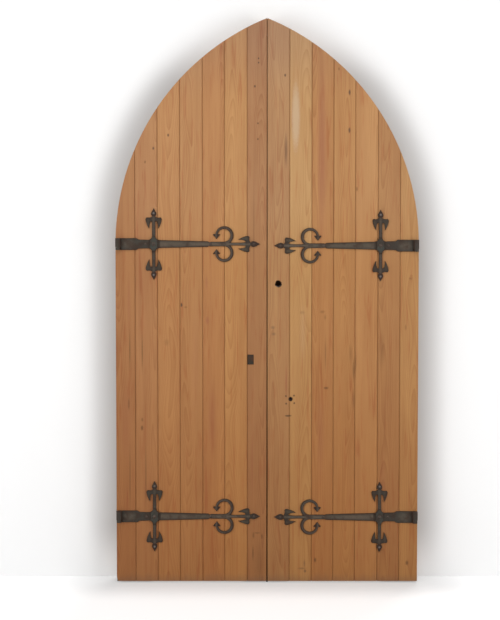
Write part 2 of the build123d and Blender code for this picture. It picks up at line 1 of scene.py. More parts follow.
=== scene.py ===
import bpy
import math
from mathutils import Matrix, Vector


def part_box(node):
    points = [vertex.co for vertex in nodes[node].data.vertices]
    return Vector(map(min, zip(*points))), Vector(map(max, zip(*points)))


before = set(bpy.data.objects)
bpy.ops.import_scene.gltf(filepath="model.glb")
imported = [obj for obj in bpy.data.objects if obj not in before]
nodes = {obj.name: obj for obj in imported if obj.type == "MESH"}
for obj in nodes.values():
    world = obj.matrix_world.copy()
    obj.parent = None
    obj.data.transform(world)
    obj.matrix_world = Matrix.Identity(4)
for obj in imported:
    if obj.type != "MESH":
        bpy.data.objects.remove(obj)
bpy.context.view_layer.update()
print("frame loaded,", len(nodes), "pieces")


# Shader helpers: each adds nodes to a tree and gives back an output
def feed(tree, socket, value):
    if isinstance(value, bpy.types.NodeSocket):
        tree.links.new(value, socket)
    elif value is not None:
        socket.default_value = value


def calc(tree, operation, a, b=None, c=None, clamp=False):
    node = tree.nodes.new("ShaderNodeMath")
    node.operation = operation
    node.use_clamp = clamp
    for socket, value in zip(node.inputs, (a, b, c)):
        feed(tree, socket, value)
    return node.outputs[0]


def times(tree, a, b):
    return calc(tree, "MULTIPLY", a, b)


def less(tree, a, b):
    return calc(tree, "SUBTRACT", a, b)


def apart(tree, a, b):  # how far two values lie from each other
    return calc(tree, "ABSOLUTE", less(tree, a, b))


def most(tree, a, b):
    return calc(tree, "MAXIMUM", a, b)


def diagonal(tree, a, b):  # root of a squared plus b squared
    return calc(tree, "SQRT", calc(tree, "MULTIPLY_ADD", a, a, times(tree, b, b)))


def sway(tree, noise, amount, value, middle=0.5):  # value + amount x (noise - middle)
    return calc(tree, "MULTIPLY_ADD", less(tree, noise, middle), amount, value)


def fade(tree, value, start, end, low=0.0, high=1.0):  # eased step from low to high
    node = tree.nodes.new("ShaderNodeMapRange")
    node.interpolation_type = "SMOOTHSTEP"
    for index, item in enumerate((value, start, end, low, high)):
        feed(tree, node.inputs[index], item)
    return node.outputs[0]


def blendColour(tree, factor, a, b, kind="MIX"):
    node = tree.nodes.new("ShaderNodeMix")
    node.data_type = "RGBA"
    node.blend_type = kind
    for index, item in ((0, factor), (6, a), (7, b)):
        feed(tree, node.inputs[index], item)
    return node.outputs[2]


def stretched(tree, spot, scale=(1, 1, 1), turn=(0, 0, 0), shift=(0, 0, 0)):
    node = tree.nodes.new("ShaderNodeMapping")
    for name, item in (("Vector", spot), ("Location", shift), ("Rotation", turn), ("Scale", scale)):
        feed(tree, node.inputs[name], item)
    return node.outputs[0]


def cloud(tree, spot, scale, detail=2.0, rough=0.5, warp=0.0):
    node = tree.nodes.new("ShaderNodeTexNoise")
    for name, item in (("Vector", spot), ("Scale", scale), ("Detail", detail),
                       ("Roughness", rough), ("Distortion", warp)):
        feed(tree, node.inputs[name], item)
    return node.outputs[0]


def parts(tree, spot):
    node = tree.nodes.new("ShaderNodeSeparateXYZ")
    feed(tree, node.inputs[0], spot)
    return node.outputs


def joined(tree, x, y, z):
    node = tree.nodes.new("ShaderNodeCombineXYZ")
    for socket, value in zip(node.inputs, (x, y, z)):
        feed(tree, socket, value)
    return node.outputs[0]


# A socket's kind follows from how many numbers it carries
socketKinds = {1: "NodeSocketFloat", 3: "NodeSocketVector", 4: "NodeSocketColor"}


def makeGroup(name, inputs, outputs):
    group = bpy.data.node_groups.new(name, "ShaderNodeTree")
    for label, value in inputs.items():
        kind = socketKinds[len(value) if isinstance(value, tuple) else 1]
        socket = group.interface.new_socket(name=label, in_out="INPUT", socket_type=kind)
        socket.default_value = value
    for label, count in outputs.items():
        group.interface.new_socket(name=label, in_out="OUTPUT", socket_type=socketKinds[count])
    given, out = group.nodes.new("NodeGroupInput"), group.nodes.new("NodeGroupOutput")
    return group, given.outputs, out.inputs


def place(tree, group, **values):
    node = tree.nodes.new("ShaderNodeGroup")
    node.node_tree = group
    for name, value in values.items():
        feed(tree, node.inputs[name], value)
    return node.outputs


# Pine. Noise in the wood: scale, how much it is drawn out along the grain, detail, roughness, warp
grainNoise = {
    "ripple": (28.0, 0.06, 2.0, 0.5, 0.0),
    "fibre": (650.0, 0.012, 2.0, 0.5, 0.0),
    "patch": (14.0, 0.13, 3.0, 0.6, 0.4),
    "band": (60.0, 0.02, 2.0, 0.6, 0.0),
    "streak": (75.0, 0.07, 2.0, 0.55, 0.2),
}
# Rings: how far the heart line drifts aside and swells in depth, how a ring darkens and where it ends.
# Then the share of each noise in the dark, the ruddy streaks, and the heights for the bump.
grainLook = {
    "drift": 0.16, "driftScale": 1.1, "swell": 0.11, "swellScale": 0.8, "swellStart": 7.3,
    "ripple": 0.006, "ringCurve": 2.2, "ringEnd": 0.93, "figure": 0.40, "mottle": 0.7,
    "fibre": 0.35, "band": 0.55, "patchMiddle": 0.42, "ground": 0.28, "ruddy": (0.88, 0.68, 0.62, 1),
    "ruddyStreak": (0.52, 0.68), "ruddyPatch": (0.35, 0.6, 0.15, 0.75),
    "fibreHeight": 0.35, "ringHeight": -0.5,
}


def alongGrain(tree, spot, noise):
    scale, drawn, detail, rough, warp = noise
    return cloud(tree, stretched(tree, spot, (1, 1, drawn)), scale, detail, rough, warp)


# Pine as it grows: rings round a heart behind the face, so any cut shows its own figure.
# Ring phase = distance from a wandering heart line / ring width; a ring darkens slowly, then ends sharply.
def makePineGrain():
    look = grainLook
    inputs = {
        "Vector": (0, 0, 0), "Pale": (0.6, 0.4, 0.25, 1), "Deep": (0.4, 0.22, 0.12, 1), "Heart": 0.0,
        "Depth": 0.05, "Ring": 0.0035, "Figure": look["figure"], "Mottle": look["mottle"],
    }
    tree, given, out = makeGroup("pineGrain", inputs, {"Color": 4, "Height": 1})
    x, y, z = parts(tree, given["Vector"])
    noise = {name: alongGrain(tree, given["Vector"], item) for name, item in grainNoise.items()}
    drift = cloud(tree, joined(tree, 0.0, given["Heart"], z), look["driftScale"])
    swell = cloud(tree, joined(tree, look["swellStart"], given["Heart"], z), look["swellScale"])
    across = sway(tree, drift, look["drift"], less(tree, x, given["Heart"]))
    through = sway(tree, swell, look["swell"], calc(tree, "ADD", y, given["Depth"]))
    reach = diagonal(tree, across, through)
    radius = calc(tree, "MULTIPLY_ADD", noise["ripple"], look["ripple"], reach)
    phase = calc(tree, "FRACT", calc(tree, "DIVIDE", radius, given["Ring"]))
    late = calc(tree, "POWER", phase, look["ringCurve"])
    late = times(tree, late, fade(tree, phase, 1.0, look["ringEnd"]))
    amount = times(tree, late, given["Figure"])
    amount = sway(tree, noise["fibre"], look["fibre"], amount)
    amount = sway(tree, noise["band"], look["band"], amount)
    amount = sway(tree, noise["patch"], given["Mottle"], amount, look["patchMiddle"])
    amount = calc(tree, "ADD", amount, look["ground"], clamp=True)
    wood = blendColour(tree, amount, given["Pale"], given["Deep"])
    ruddy = times(tree, fade(tree, noise["streak"], *look["ruddyStreak"]),
                  fade(tree, noise["patch"], *look["ruddyPatch"]))
    tree.links.new(blendColour(tree, ruddy, wood, look["ruddy"], "MULTIPLY"), out["Color"])
    rings = times(tree, late, look["ringHeight"])
    tree.links.new(calc(tree, "MULTIPLY_ADD", noise["fibre"], look["fibreHeight"], rings), out["Height"])
    return tree


markEdge = {"scale": 160.0, "detail": 3.0, "amount": 0.5}  # the noise that breaks a mark's edge


# A soft-edged oval mark: 1 inside, fading out past its half sizes, its edge broken by noise.
def makeMark():
    inputs = {"Vector": (0, 0, 0), "X": 0.0, "Z": 0.0, "HalfX": 0.01, "HalfZ": 0.01, "Soft": 0.5}
    tree, given, out = makeGroup("oldMark", inputs, {"Mask": 1})
    x, _, z = parts(tree, given["Vector"])
    u = calc(tree, "DIVIDE", less(tree, x, given["X"]), given["HalfX"])
    v = calc(tree, "DIVIDE", less(tree, z, given["Z"]), given["HalfZ"])
    broken = cloud(tree, given["Vector"], markEdge["scale"], markEdge["detail"])
    reach = sway(tree, broken, markEdge["amount"], diagonal(tree, u, v))
    outer, inner = calc(tree, "ADD", 1.0, given["Soft"]), less(tree, 1.0, given["Soft"])
    tree.links.new(fade(tree, reach, outer, inner), out["Mask"])
    return tree


# Tones of a board by height, and its age. Tones: height where each begins, height where it is full, its
# colour factor.
# Dirt: its strength, how far the grime lets it reach from a joint, and the core where it is full.
boardToneAndAgeLook = {
    "tones": [
        (1.35, 1.70, (1.09, 1.17, 1.34, 1)),
        (2.05, 2.40, (0.86, 0.87, 1.00, 1)),
        (1.25, 0.25, (0.84, 0.745, 0.61, 1)),
    ],
    "grime": {"scale": 40.0, "drawn": 0.15, "detail": 3.0, "rough": 0.6},
    "dirt": 0.14, "dirtReach": (0.3, 0.75, 0.003, 0.007), "dirtCore": 0.001,
    "dirtColour": (0.25, 0.12, 0.05, 1), "foot": (0.045, 0.004), "footSway": -0.05, "footStrength": 0.30,
    "footColour": (0.13, 0.09, 0.06, 1),
}


# A board's tones by height, paler at the arch and deeper below, and its age: dirt along both joints
# as far as a noise lets it reach, and a dark uneven band at the very foot.
def makeToneAndAgeBoard():
    look, noise = boardToneAndAgeLook, boardToneAndAgeLook["grime"]
    inputs = {
        "Vector": (0, 0, 0), "Color": (0.6, 0.4, 0.25, 1), "Near": 0.0, "Far": 0.1, "Dirt": look["dirt"],
    }
    tree, given, out = makeGroup("toneAndAgeBoard", inputs, {"Color": 4, "Wear": 1})
    x, _, z = parts(tree, given["Vector"])
    edge = calc(tree, "MINIMUM", apart(tree, x, given["Near"]), apart(tree, x, given["Far"]))
    drawn = stretched(tree, given["Vector"], (1, 1, noise["drawn"]))
    grime = cloud(tree, drawn, noise["scale"], noise["detail"], noise["rough"])
    reach = fade(tree, grime, *look["dirtReach"])
    joint = times(tree, fade(tree, edge, reach, look["dirtCore"]), given["Dirt"])
    base = given["Color"]
    for start, full, tone in look["tones"]:
        base = blendColour(tree, fade(tree, z, start, full), base, tone, "MULTIPLY")
    base = blendColour(tree, joint, base, look["dirtColour"])
    foot = fade(tree, sway(tree, grime, look["footSway"], z), *look["foot"])
    base = blendColour(tree, times(tree, foot, look["footStrength"]), base, look["footColour"])
    tree.links.new(base, out["Color"])
    tree.links.new(most(tree, joint, foot), out["Wear"])
    return tree


# Forged iron. Noises: scale, detail, roughness, warp. Fades: start and end, then low and high.
forgeLook = {
    "hammer": 75.0, "hammerSoft": 0.8, "hammerHeight": 1.6, "gritHeight": 0.25,
    "grit": (420.0, 4.0, 0.65), "bloom": (30.0, 4.0, 0.62, 0.3), "spread": (7.0, 2.0), "spreadShare": 0.3,
    "rustStart": (0.62, 0.82), "side": (-0.97, -0.55, 0.0, 0.85),
    "worn": (0.35, 0.7), "wornColour": (1.35, 1.33, 1.3, 1),
    "oiled": (0.4, 0.65, 0.0, 0.35), "oiledColour": (0.046, 0.046, 0.034, 1),
    "metal": 0.3, "rough": 0.55, "rustRough": 0.2,
}


# Forged iron: hammered, with rust blooms, and browner where the surface turns away from the front, as rust
# and as painted shade at the edges.
def makeForgedIron():
    look = forgeLook
    inputs = {
        "Vector": (0, 0, 0), "Normal": (0, 0, 0), "Steel": (0.1, 0.095, 0.095, 1),
        "Rust": (0.09, 0.045, 0.025, 1), "Rusting": 0.5,
    }
    tree, given, out = makeGroup("forgedIron", inputs, {"Color": 4, "Height": 1, "Metal": 1, "Rough": 1})
    _, y, _ = parts(tree, given["Normal"])
    # Rust and painted shade: faces turning away from the front darken towards the rust colour
    side = fade(tree, y, *look["side"])
    blow = tree.nodes.new("ShaderNodeTexVoronoi")
    blow.feature = "SMOOTH_F1"
    feed(tree, blow.inputs["Vector"], given["Vector"])
    feed(tree, blow.inputs["Scale"], look["hammer"])
    feed(tree, blow.inputs["Smoothness"], look["hammerSoft"])
    grit = cloud(tree, given["Vector"], *look["grit"])
    bloom = cloud(tree, given["Vector"], *look["bloom"])
    spread = cloud(tree, given["Vector"], *look["spread"])
    rusty = calc(tree, "ADD", bloom, times(tree, spread, look["spreadShare"]))
    rusty = most(tree, times(tree, fade(tree, rusty, *look["rustStart"]), given["Rusting"]), side)
    worn = fade(tree, grit, *look["worn"])
    tone = blendColour(tree, worn, given["Steel"], look["wornColour"], "MULTIPLY")
    tone = blendColour(tree, fade(tree, spread, *look["oiled"]), tone, look["oiledColour"])
    tree.links.new(blendColour(tree, rusty, tone, given["Rust"]), out["Color"])
    blows = times(tree, blow.outputs["Distance"], look["hammerHeight"])
    tree.links.new(calc(tree, "MULTIPLY_ADD", grit, look["gritHeight"], blows), out["Height"])
    tree.links.new(times(tree, less(tree, 1.0, rusty), look["metal"]), out["Metal"])
    tree.links.new(calc(tree, "MULTIPLY_ADD", rusty, look["rustRough"], look["rough"]), out["Rough"])
    return tree


# Places on a strap hinge, in metres: u in from the leaf's edge, v off the strap's middle line,
# w off the cross bar's middle line. An oval is its middle and half size one way, then the other way.
hingeSpots = {
    "edge": 0.655, "bar": 0.1655, "barPetal": (0.0238, 0.0075, 0.094, 0.021),
    "tipPetal": (0.0238, 0.0075, 0.558, 0.021), "barBud": (0.0, 0.013, 0.137, 0.019),
    "tipBud": (0.0, 0.014, 0.605, 0.022), "boss": (0.0, 0.019, 0.0, 0.030),
    "tipBase": (0.551, 0.016, 0.0, 0.026), "dish": (0.058, 0.034, 0.0, 0.025), "plate": (0.20, 0.08),
    "scroll": (0.467, 1.0, 0.0375, 1.0), "scrollRadius": 0.0335, "scrollReach": (0.080, 0.068),
    "scrollOff": (0.010, 0.018), "strapRun": (0.195, 0.455), "barRun": (0.035, 0.118),
    "stemRun": (0.480, 0.580), "runSoft": 0.004, "strapTaper": -0.034, "strapHalf": 0.0260,
}
# Where each zone fades in and is full, in half sizes of its oval or of the strap, or in metres;
# two more numbers give its strength from nothing
hingeFades = {
    "barPetal": (1.15, 0.45, 0.0, 0.45), "tipPetal": (1.15, 0.45), "bud": (1.15, 0.9), "boss": (1.15, 0.7),
    "strap": (1.0, 0.15), "dish": (1.1, 0.3, 0.0, 0.8), "bar": (0.0085, 0.002, 0.0, 0.45),
    "stem": (0.0070, 0.002), "ring": (0.0065, 0.002, 0.0, 0.6),
}


# Zones of a strap hinge: the dished middles of the petals, the browner buds and scrolls, the greener
# boss and tip, the grey plate, and the lighter ridge along the strap, bars, scrolls and plate, worn bare
# and a painted highlight.
def makeHingeZones():
    spots, fades = hingeSpots, hingeFades
    outputs = {"Hollow": 1, "Brown": 1, "Green": 1, "Plate": 1, "BareAndHighlight": 1}
    tree, given, out = makeGroup("hingeZones", {"Vector": (0, 0, 0), "Height": 0.0}, outputs)
    x, _, z = parts(tree, given["Vector"])
    u = less(tree, spots["edge"], calc(tree, "ABSOLUTE", x))
    v = apart(tree, z, given["Height"])
    w = apart(tree, u, spots["bar"])

    def oval(name, a, b):  # distance from the oval's middle, 1 on its edge
        aMiddle, aHalf, bMiddle, bHalf = spots[name]
        a = calc(tree, "DIVIDE", less(tree, a, aMiddle), aHalf)
        b = calc(tree, "DIVIDE", less(tree, b, bMiddle), bHalf)
        return diagonal(tree, a, b)

    def between(name, value):  # 1 along the run, soft at its ends
        start, end = spots[name]
        soft = spots["runSoft"]
        return times(tree, fade(tree, value, start - soft, start), fade(tree, value, end + soft, end))

    barPetals = fade(tree, oval("barPetal", w, v), *fades["barPetal"])
    tipPetals = fade(tree, oval("tipPetal", v, u), *fades["tipPetal"])
    tree.links.new(most(tree, barPetals, tipPetals), out["Hollow"])
    buds = calc(tree, "MINIMUM", oval("barBud", w, v), oval("tipBud", v, u))
    scrolls = times(tree, fade(tree, v, *spots["scrollOff"]),
                    fade(tree, apart(tree, u, spots["scroll"][0]), *spots["scrollReach"]))
    tree.links.new(most(tree, fade(tree, buds, *fades["bud"]), scrolls), out["Brown"])
    boss = fade(tree, oval("boss", w, v), *fades["boss"])
    tipBase = fade(tree, oval("tipBase", u, v), *fades["boss"])
    tree.links.new(most(tree, boss, tipBase), out["Green"])
    tree.links.new(fade(tree, u, *spots["plate"]), out["Plate"])
    half = calc(tree, "MULTIPLY_ADD", u, spots["strapTaper"], spots["strapHalf"])  # the strap's half height
    strap = fade(tree, calc(tree, "DIVIDE", v, half), *fades["strap"])
    strap = times(tree, strap, between("strapRun", u))
    dish = fade(tree, oval("dish", u, v), *fades["dish"])
    bar = times(tree, fade(tree, w, *fades["bar"]), between("barRun", v))
    stem = times(tree, fade(tree, v, *fades["stem"]), between("stemRun", u))
    ring = fade(tree, apart(tree, oval("scroll", u, v), spots["scrollRadius"]), *fades["ring"])
    # Wear and painted highlight: the middle lines of strap, bars, stem and scroll ring, and the plate's
    # dish, turn lighter
    ridge = most(tree, most(tree, strap, dish), most(tree, bar, stem))
    tree.links.new(most(tree, ridge, ring), out["BareAndHighlight"])
    return tree


pineGrain, oldMark, toneAndAgeBoard = makePineGrain(), makeMark(), makeToneAndAgeBoard()
forgedIron, hingeZones = makeForgedIron(), makeHingeZones()
print("groups made")


def newMaterial(name):
    material = bpy.data.materials.new(name)
    material.use_nodes = True
    tree = material.node_tree
    spot = tree.nodes.new("ShaderNodeTexCoord").outputs
    return material, tree, tree.nodes["Principled BSDF"], spot


def dress(node, material):
    mesh = nodes[node].data
    mesh.materials.clear()
    mesh.materials.append(material)


def bumped(tree, shader, height, distance, strength):
    bump = tree.nodes.new("ShaderNodeBump")
    bump.inputs["Distance"].default_value = distance
    bump.inputs["Strength"].default_value = strength
    tree.links.new(height, bump.inputs["Height"])
    tree.links.new(bump.outputs[0], shader.inputs["Normal"])


# Boards. Tones: the wood between its rings, and the dark of its rings
boardTones = {
    "honey": ((0.471, 0.238, 0.082, 1), (0.304, 0.122, 0.034, 1)),
    "amber": ((0.461, 0.227, 0.078, 1), (0.290, 0.110, 0.032, 1)),
    "rosy": ((0.437, 0.214, 0.082, 1), (0.275, 0.106, 0.037, 1)),
    "umber": ((0.408, 0.199, 0.074, 1), (0.254, 0.098, 0.033, 1)),
    "straw": ((0.483, 0.256, 0.091, 1), (0.317, 0.135, 0.040, 1)),
}
# Each board: tone, how far the tree's heart is from the board's middle, ring width, the board's own tint
boardLook = {
    "left_board_1": ("umber", 0.02, 0.0036, (1.00, 0.99, 1.00)),
    "left_board_2": ("honey", -0.03, 0.0042, (1.08, 1.07, 1.06)),
    "left_board_3": ("amber", 0.05, 0.0032, (1.04, 0.99, 0.97)),
    "left_board_4": ("honey", -0.02, 0.0038, (1.00, 0.97, 1.02)),
    "left_board_5": ("straw", 0.00, 0.0045, (1.00, 0.91, 0.90)),
    "left_board_6": ("rosy", 0.04, 0.0034, (1.02, 0.99, 0.94)),
    "left_board_7": ("amber", -0.05, 0.0040, (0.90, 0.84, 0.86)),
    "right_board_1": ("rosy", -0.01, 0.0037, (1.03, 1.11, 1.13)),
    "right_board_2": ("straw", 0.03, 0.0043, (1.07, 1.11, 1.14)),
    "right_board_3": ("amber", -0.04, 0.0035, (1.01, 0.97, 0.91)),
    "right_board_4": ("honey", 0.01, 0.0041, (1.01, 0.97, 0.93)),
    "right_board_5": ("honey", 0.05, 0.0036, (1.06, 1.04, 1.06)),
    "right_board_6": ("amber", -0.02, 0.0039, (0.93, 0.92, 0.93)),
    "right_board_7": ("honey", 0.02, 0.0044, (1.03, 1.06, 1.08)),
}
# Cut and finish of all boards: apart is how far along the wood each is cut from the one before,
# heart is how deep the tree's heart lies behind the face, tongue is a tongue's reach past the joint
boardFinish = {
    "faceY": -0.0355, "apart": 3.71, "heart": 0.03, "heartStep": 0.006, "tongue": 0.0067,
    "rough": 0.52, "wornRough": 0.25, "shine": 0.35, "bump": (0.0006, 0.6),
}
markColours = {
    "rust": (0.07, 0.032, 0.016, 1), "knot": (0.085, 0.04, 0.02, 1), "red": (0.30, 0.10, 0.045, 1),
    # The near-black colour for the holes is painted shade on their walls
    "filler": (0.50, 0.33, 0.18, 1), "polish": (0.13, 0.07, 0.04, 1), "holeShade": (0.02, 0.006, 0.002, 1),
    "vein": (0.135, 0.055, 0.014, 1),
}
# Marks: colour, x, z, half width, half height, softness, strength
boardMarks = {
    "left_board_1": [
        ("rust", -0.037, 2.272, 0.003, 0.004, 0.5, 0.90),
        ("rust", -0.037, 2.254, 0.003, 0.004, 0.5, 0.80),
        ("rust", -0.053, 2.153, 0.004, 0.005, 0.5, 0.80),
        ("rust", -0.040, 1.995, 0.003, 0.004, 0.5, 0.80),
        ("rust", -0.040, 1.927, 0.003, 0.004, 0.5, 0.80),
        ("vein", -0.059, 0.208, 0.004, 0.012, 0.7, 0.56),
        ("vein", -0.042, 0.218, 0.012, 0.003, 0.7, 0.50),
        ("vein", -0.022, 0.203, 0.004, 0.010, 0.7, 0.56),
        ("vein", -0.061, 0.130, 0.003, 0.028, 0.7, 0.62),
        ("vein", -0.030, 0.085, 0.020, 0.070, 0.9, 0.28),
        ("red", -0.064, 0.520, 0.003, 0.130, 0.8, 0.55),
        ("vein", -0.058, 1.500, 0.003, 0.180, 0.8, 0.38),
    ],
    "left_board_3": [
        ("red", -0.258, 1.145, 0.006, 0.014, 0.8, 0.60),
        ("red", -0.262, 1.310, 0.005, 0.022, 0.8, 0.40),
        ("red", -0.240, 0.720, 0.014, 0.120, 0.9, 0.35),
    ],
    "left_board_4": [
        ("knot", -0.370, 1.213, 0.004, 0.008, 0.4, 0.90),
        ("vein", -0.352, 1.203, 0.006, 0.004, 0.7, 0.44),
        ("red", -0.310, 0.980, 0.010, 0.180, 0.9, 0.22),
    ],
    "left_board_5": [
        ("knot", -0.426, 1.944, 0.004, 0.006, 0.5, 0.80),
        ("vein", -0.435, 1.050, 0.009, 0.012, 0.8, 0.25),
    ],
    "left_board_6": [
        ("knot", -0.490, 1.888, 0.004, 0.006, 0.5, 0.80),
        ("vein", -0.526, 1.829, 0.004, 0.006, 0.5, 0.62),
        ("vein", -0.541, 1.010, 0.003, 0.065, 0.8, 0.62),
        ("vein", -0.543, 0.678, 0.005, 0.010, 0.6, 0.75),
        ("vein", -0.542, 0.714, 0.004, 0.008, 0.6, 0.50),
        ("vein", -0.527, 0.480, 0.003, 0.110, 0.8, 0.44),
    ],
    "left_board_7": [
        ("vein", -0.595, 1.020, 0.003, 0.070, 0.8, 0.62),
        ("vein", -0.600, 0.782, 0.004, 0.022, 0.7, 0.62),
        ("vein", -0.596, 0.470, 0.003, 0.120, 0.8, 0.44),
        ("red", -0.598, 1.230, 0.005, 0.090, 0.9, 0.35),
        ("red", -0.612, 0.700, 0.020, 0.120, 0.9, 0.30),
    ],
    "right_board_1": [
        ("rust", 0.077, 2.200, 0.004, 0.006, 0.5, 0.80),
        ("knot", 0.081, 1.880, 0.006, 0.055, 0.8, 0.55),
        ("polish", 0.025, 1.115, 0.008, 0.006, 0.7, 0.50),
        ("polish", 0.029, 1.087, 0.008, 0.006, 0.7, 0.45),
        ("rust", 0.082, 0.817, 0.004, 0.004, 0.5, 0.80),
        ("rust", 0.083, 0.784, 0.004, 0.004, 0.5, 0.80),
        ("rust", 0.092, 0.731, 0.013, 0.004, 0.4, 0.80),
        ("holeShade", 0.0485, 1.304, 0.0150, 0.0150, 0.12, 1.00),
        ("red", 0.083, 0.875, 0.003, 0.050, 0.6, 0.60),
        ("holeShade", 0.102, 0.804, 0.0095, 0.0095, 0.2, 1.00),
    ],
    "right_board_2": [
        ("filler", 0.123, 2.021, 0.016, 0.128, 0.45, 0.75),
        ("rust", 0.092, 0.731, 0.013, 0.004, 0.4, 0.80),
        ("rust", 0.117, 0.819, 0.004, 0.004, 0.5, 0.80),
        ("rust", 0.118, 0.786, 0.004, 0.004, 0.5, 0.80),
        ("holeShade", 0.102, 0.804, 0.0095, 0.0095, 0.2, 1.00),
        ("vein", 0.152, 1.180, 0.009, 0.006, 0.8, 0.31),
        ("polish", 0.152, 0.062, 0.016, 0.004, 0.7, 0.45),
        ("polish", 0.166, 0.050, 0.005, 0.006, 0.6, 0.70),
        ("polish", 0.163, 0.083, 0.004, 0.014, 0.7, 0.50),
        ("filler", 0.155, 1.090, 0.010, 0.090, 0.9, 0.25),
    ],
    "right_board_3": [
        ("red", 0.236, 1.880, 0.016, 0.300, 0.9, 0.55),
        ("vein", 0.256, 0.852, 0.009, 0.005, 0.6, 0.75),
        ("vein", 0.239, 1.183, 0.009, 0.005, 0.8, 0.44),
        ("vein", 0.251, 1.160, 0.004, 0.010, 0.8, 0.38),
        ("vein", 0.253, 1.000, 0.003, 0.060, 0.8, 0.44),
        ("vein", 0.210, 0.099, 0.005, 0.009, 0.6, 0.80),
        ("red", 0.232, 0.640, 0.013, 0.150, 0.9, 0.35),
    ],
    "right_board_4": [
        ("knot", 0.354, 2.127, 0.004, 0.011, 0.5, 0.85),
        ("knot", 0.354, 1.965, 0.004, 0.011, 0.5, 0.80),
        ("vein", 0.308, 2.227, 0.003, 0.006, 0.6, 0.62),
        ("vein", 0.375, 0.930, 0.004, 0.040, 0.8, 0.60),
        ("vein", 0.375, 0.800, 0.004, 0.035, 0.8, 0.50),
        ("vein", 0.362, 1.000, 0.006, 0.030, 0.9, 0.31),
    ],
    "right_board_5": [
        ("vein", 0.387, 1.713, 0.003, 0.008, 0.6, 0.62),
        ("vein", 0.381, 0.960, 0.005, 0.050, 0.8, 0.44),
    ],
    "right_board_6": [
        ("vein", 0.496, 1.020, 0.010, 0.060, 0.9, 0.28),
        ("vein", 0.500, 1.560, 0.009, 0.050, 0.9, 0.31),
        ("red", 0.505, 0.420, 0.008, 0.120, 0.9, 0.30),
    ],
    "right_board_7": [
        ("vein", 0.611, 0.086, 0.006, 0.009, 0.6, 0.75),
        ("vein", 0.620, 1.327, 0.006, 0.004, 0.8, 0.44),
        ("vein", 0.600, 1.116, 0.004, 0.010, 0.8, 0.38),
    ],
}


# Lays each mark over the wood; gives the wood, and where a hole's wall is painted near black as shade and
# is dull
def markWood(tree, spot, wood, marks):
    bored = 0.0
    for name, x, z, halfX, halfZ, soft, strength in marks:
        mask = place(tree, oldMark, Vector=spot, X=x, Z=z, HalfX=halfX, HalfZ=halfZ, Soft=soft)["Mask"]
        wood = blendColour(tree, times(tree, mask, strength), wood, markColours[name])
        if name == "holeShade":
            bored = most(tree, mask, bored)
    return wood, bored


def dressBoards():
    look = boardFinish
    for index, (node, (tone, heart, ring, tint)) in enumerate(boardLook.items()):
        low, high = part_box(node)
        side = -1 if node.startswith("left") else 1
        near, far = (low.x, high.x) if side > 0 else (high.x, low.x)
        if not node.endswith("7"):  # the last board has no tongue
            far -= side * look["tongue"]
        material, tree, shader, spot = newMaterial("pine_" + node)
        pale, deep = ([part * scale for part, scale in zip(shade, tint)] + [1]
                      for shade in boardTones[tone])
        slid = stretched(tree, spot["Object"],
                         shift=(-(near + far) / 2, -look["faceY"], index * look["apart"]))
        grain = place(tree, pineGrain, Vector=slid, Pale=pale, Deep=deep, Heart=heart,
                      Depth=look["heart"] + look["heartStep"] * (index % 5), Ring=ring)
        wood, bored = markWood(tree, spot["Object"], grain["Color"], boardMarks.get(node, []))
        tonedAndAged = place(tree, toneAndAgeBoard, Vector=spot["Object"], Color=wood, Near=near, Far=far)
        tree.links.new(tonedAndAged["Color"], shader.inputs["Base Color"])
        rough = calc(tree, "MULTIPLY_ADD", tonedAndAged["Wear"], look["wornRough"], look["rough"])
        tree.links.new(most(tree, rough, bored), shader.inputs["Roughness"])
        shader.inputs["Specular IOR Level"].default_value = look["shine"]
        bumped(tree, shader, grain["Height"], *look["bump"])
        dress(node, material)
    print("boards dressed")


# Framing and frame. Tones: the wood between its rings, and the dark of its rings
timberTones = {
    "framing": ((0.47, 0.275, 0.145, 1), (0.29, 0.145, 0.066, 1)),
    "frame": ((0.50, 0.300, 0.160, 1), (0.32, 0.165, 0.076, 1)),
    "peg": ((0.33, 0.190, 0.100, 1), (0.20, 0.100, 0.050, 1)),
}
# Each timber: tone, and the turn in degrees that lays the grain along it
timberLook = {
    "hanging_stile": ("framing", 0.0), "meeting_stile": ("framing", 0.0), "curved_head": ("framing", 33.0),
    "bottom_rail": ("framing", 90.0), "lock_rail": ("framing", 90.0), "top_rail": ("framing", 90.0),
    "collar_rail": ("framing", 90.0), "lower_brace": ("framing", 38.0), "upper_brace": ("framing", 40.0),
    "leaf_pegs": ("peg", 0.0), "jamb": ("frame", 0.0), "frame_head": ("frame", 36.0),
}
# The holes' walls are painted near black as shade
timberMarks = {  # the dark walls of the two holes that go on through the framing
    "right_meeting_stile": [("holeShade", 0.0485, 1.304, 0.0130, 0.0130, 0.12, 1.00)],
    "right_lock_rail": [("holeShade", 0.102, 0.804, 0.0070, 0.0070, 0.12, 1.00)],
}
# Cut and finish of all timbers: each is cut apart from the one before and a little aside; the steps
# vary the depth of the tree's heart, its place and the ring width from timber to timber
timberFinish = {
    "apart": 2.3, "aside": 0.013, "heart": 0.06, "heartStep": 0.01, "heartAside": 0.02, "ring": 0.003,
    "ringStep": 0.0003, "grime": (9.0, 4.0, 0.6), "dust": (0.35, 0.7, 0.0, 0.35),
    "dustColour": (0.20, 0.15, 0.11, 1), "foot": (0.12, 0.0, 0.0, 0.6),
    "footColour": (0.12, 0.085, 0.06, 1), "rough": (0.3, 0.7, 0.58, 0.72), "shine": 0.3,
    "bump": (0.0007, 0.6),
}


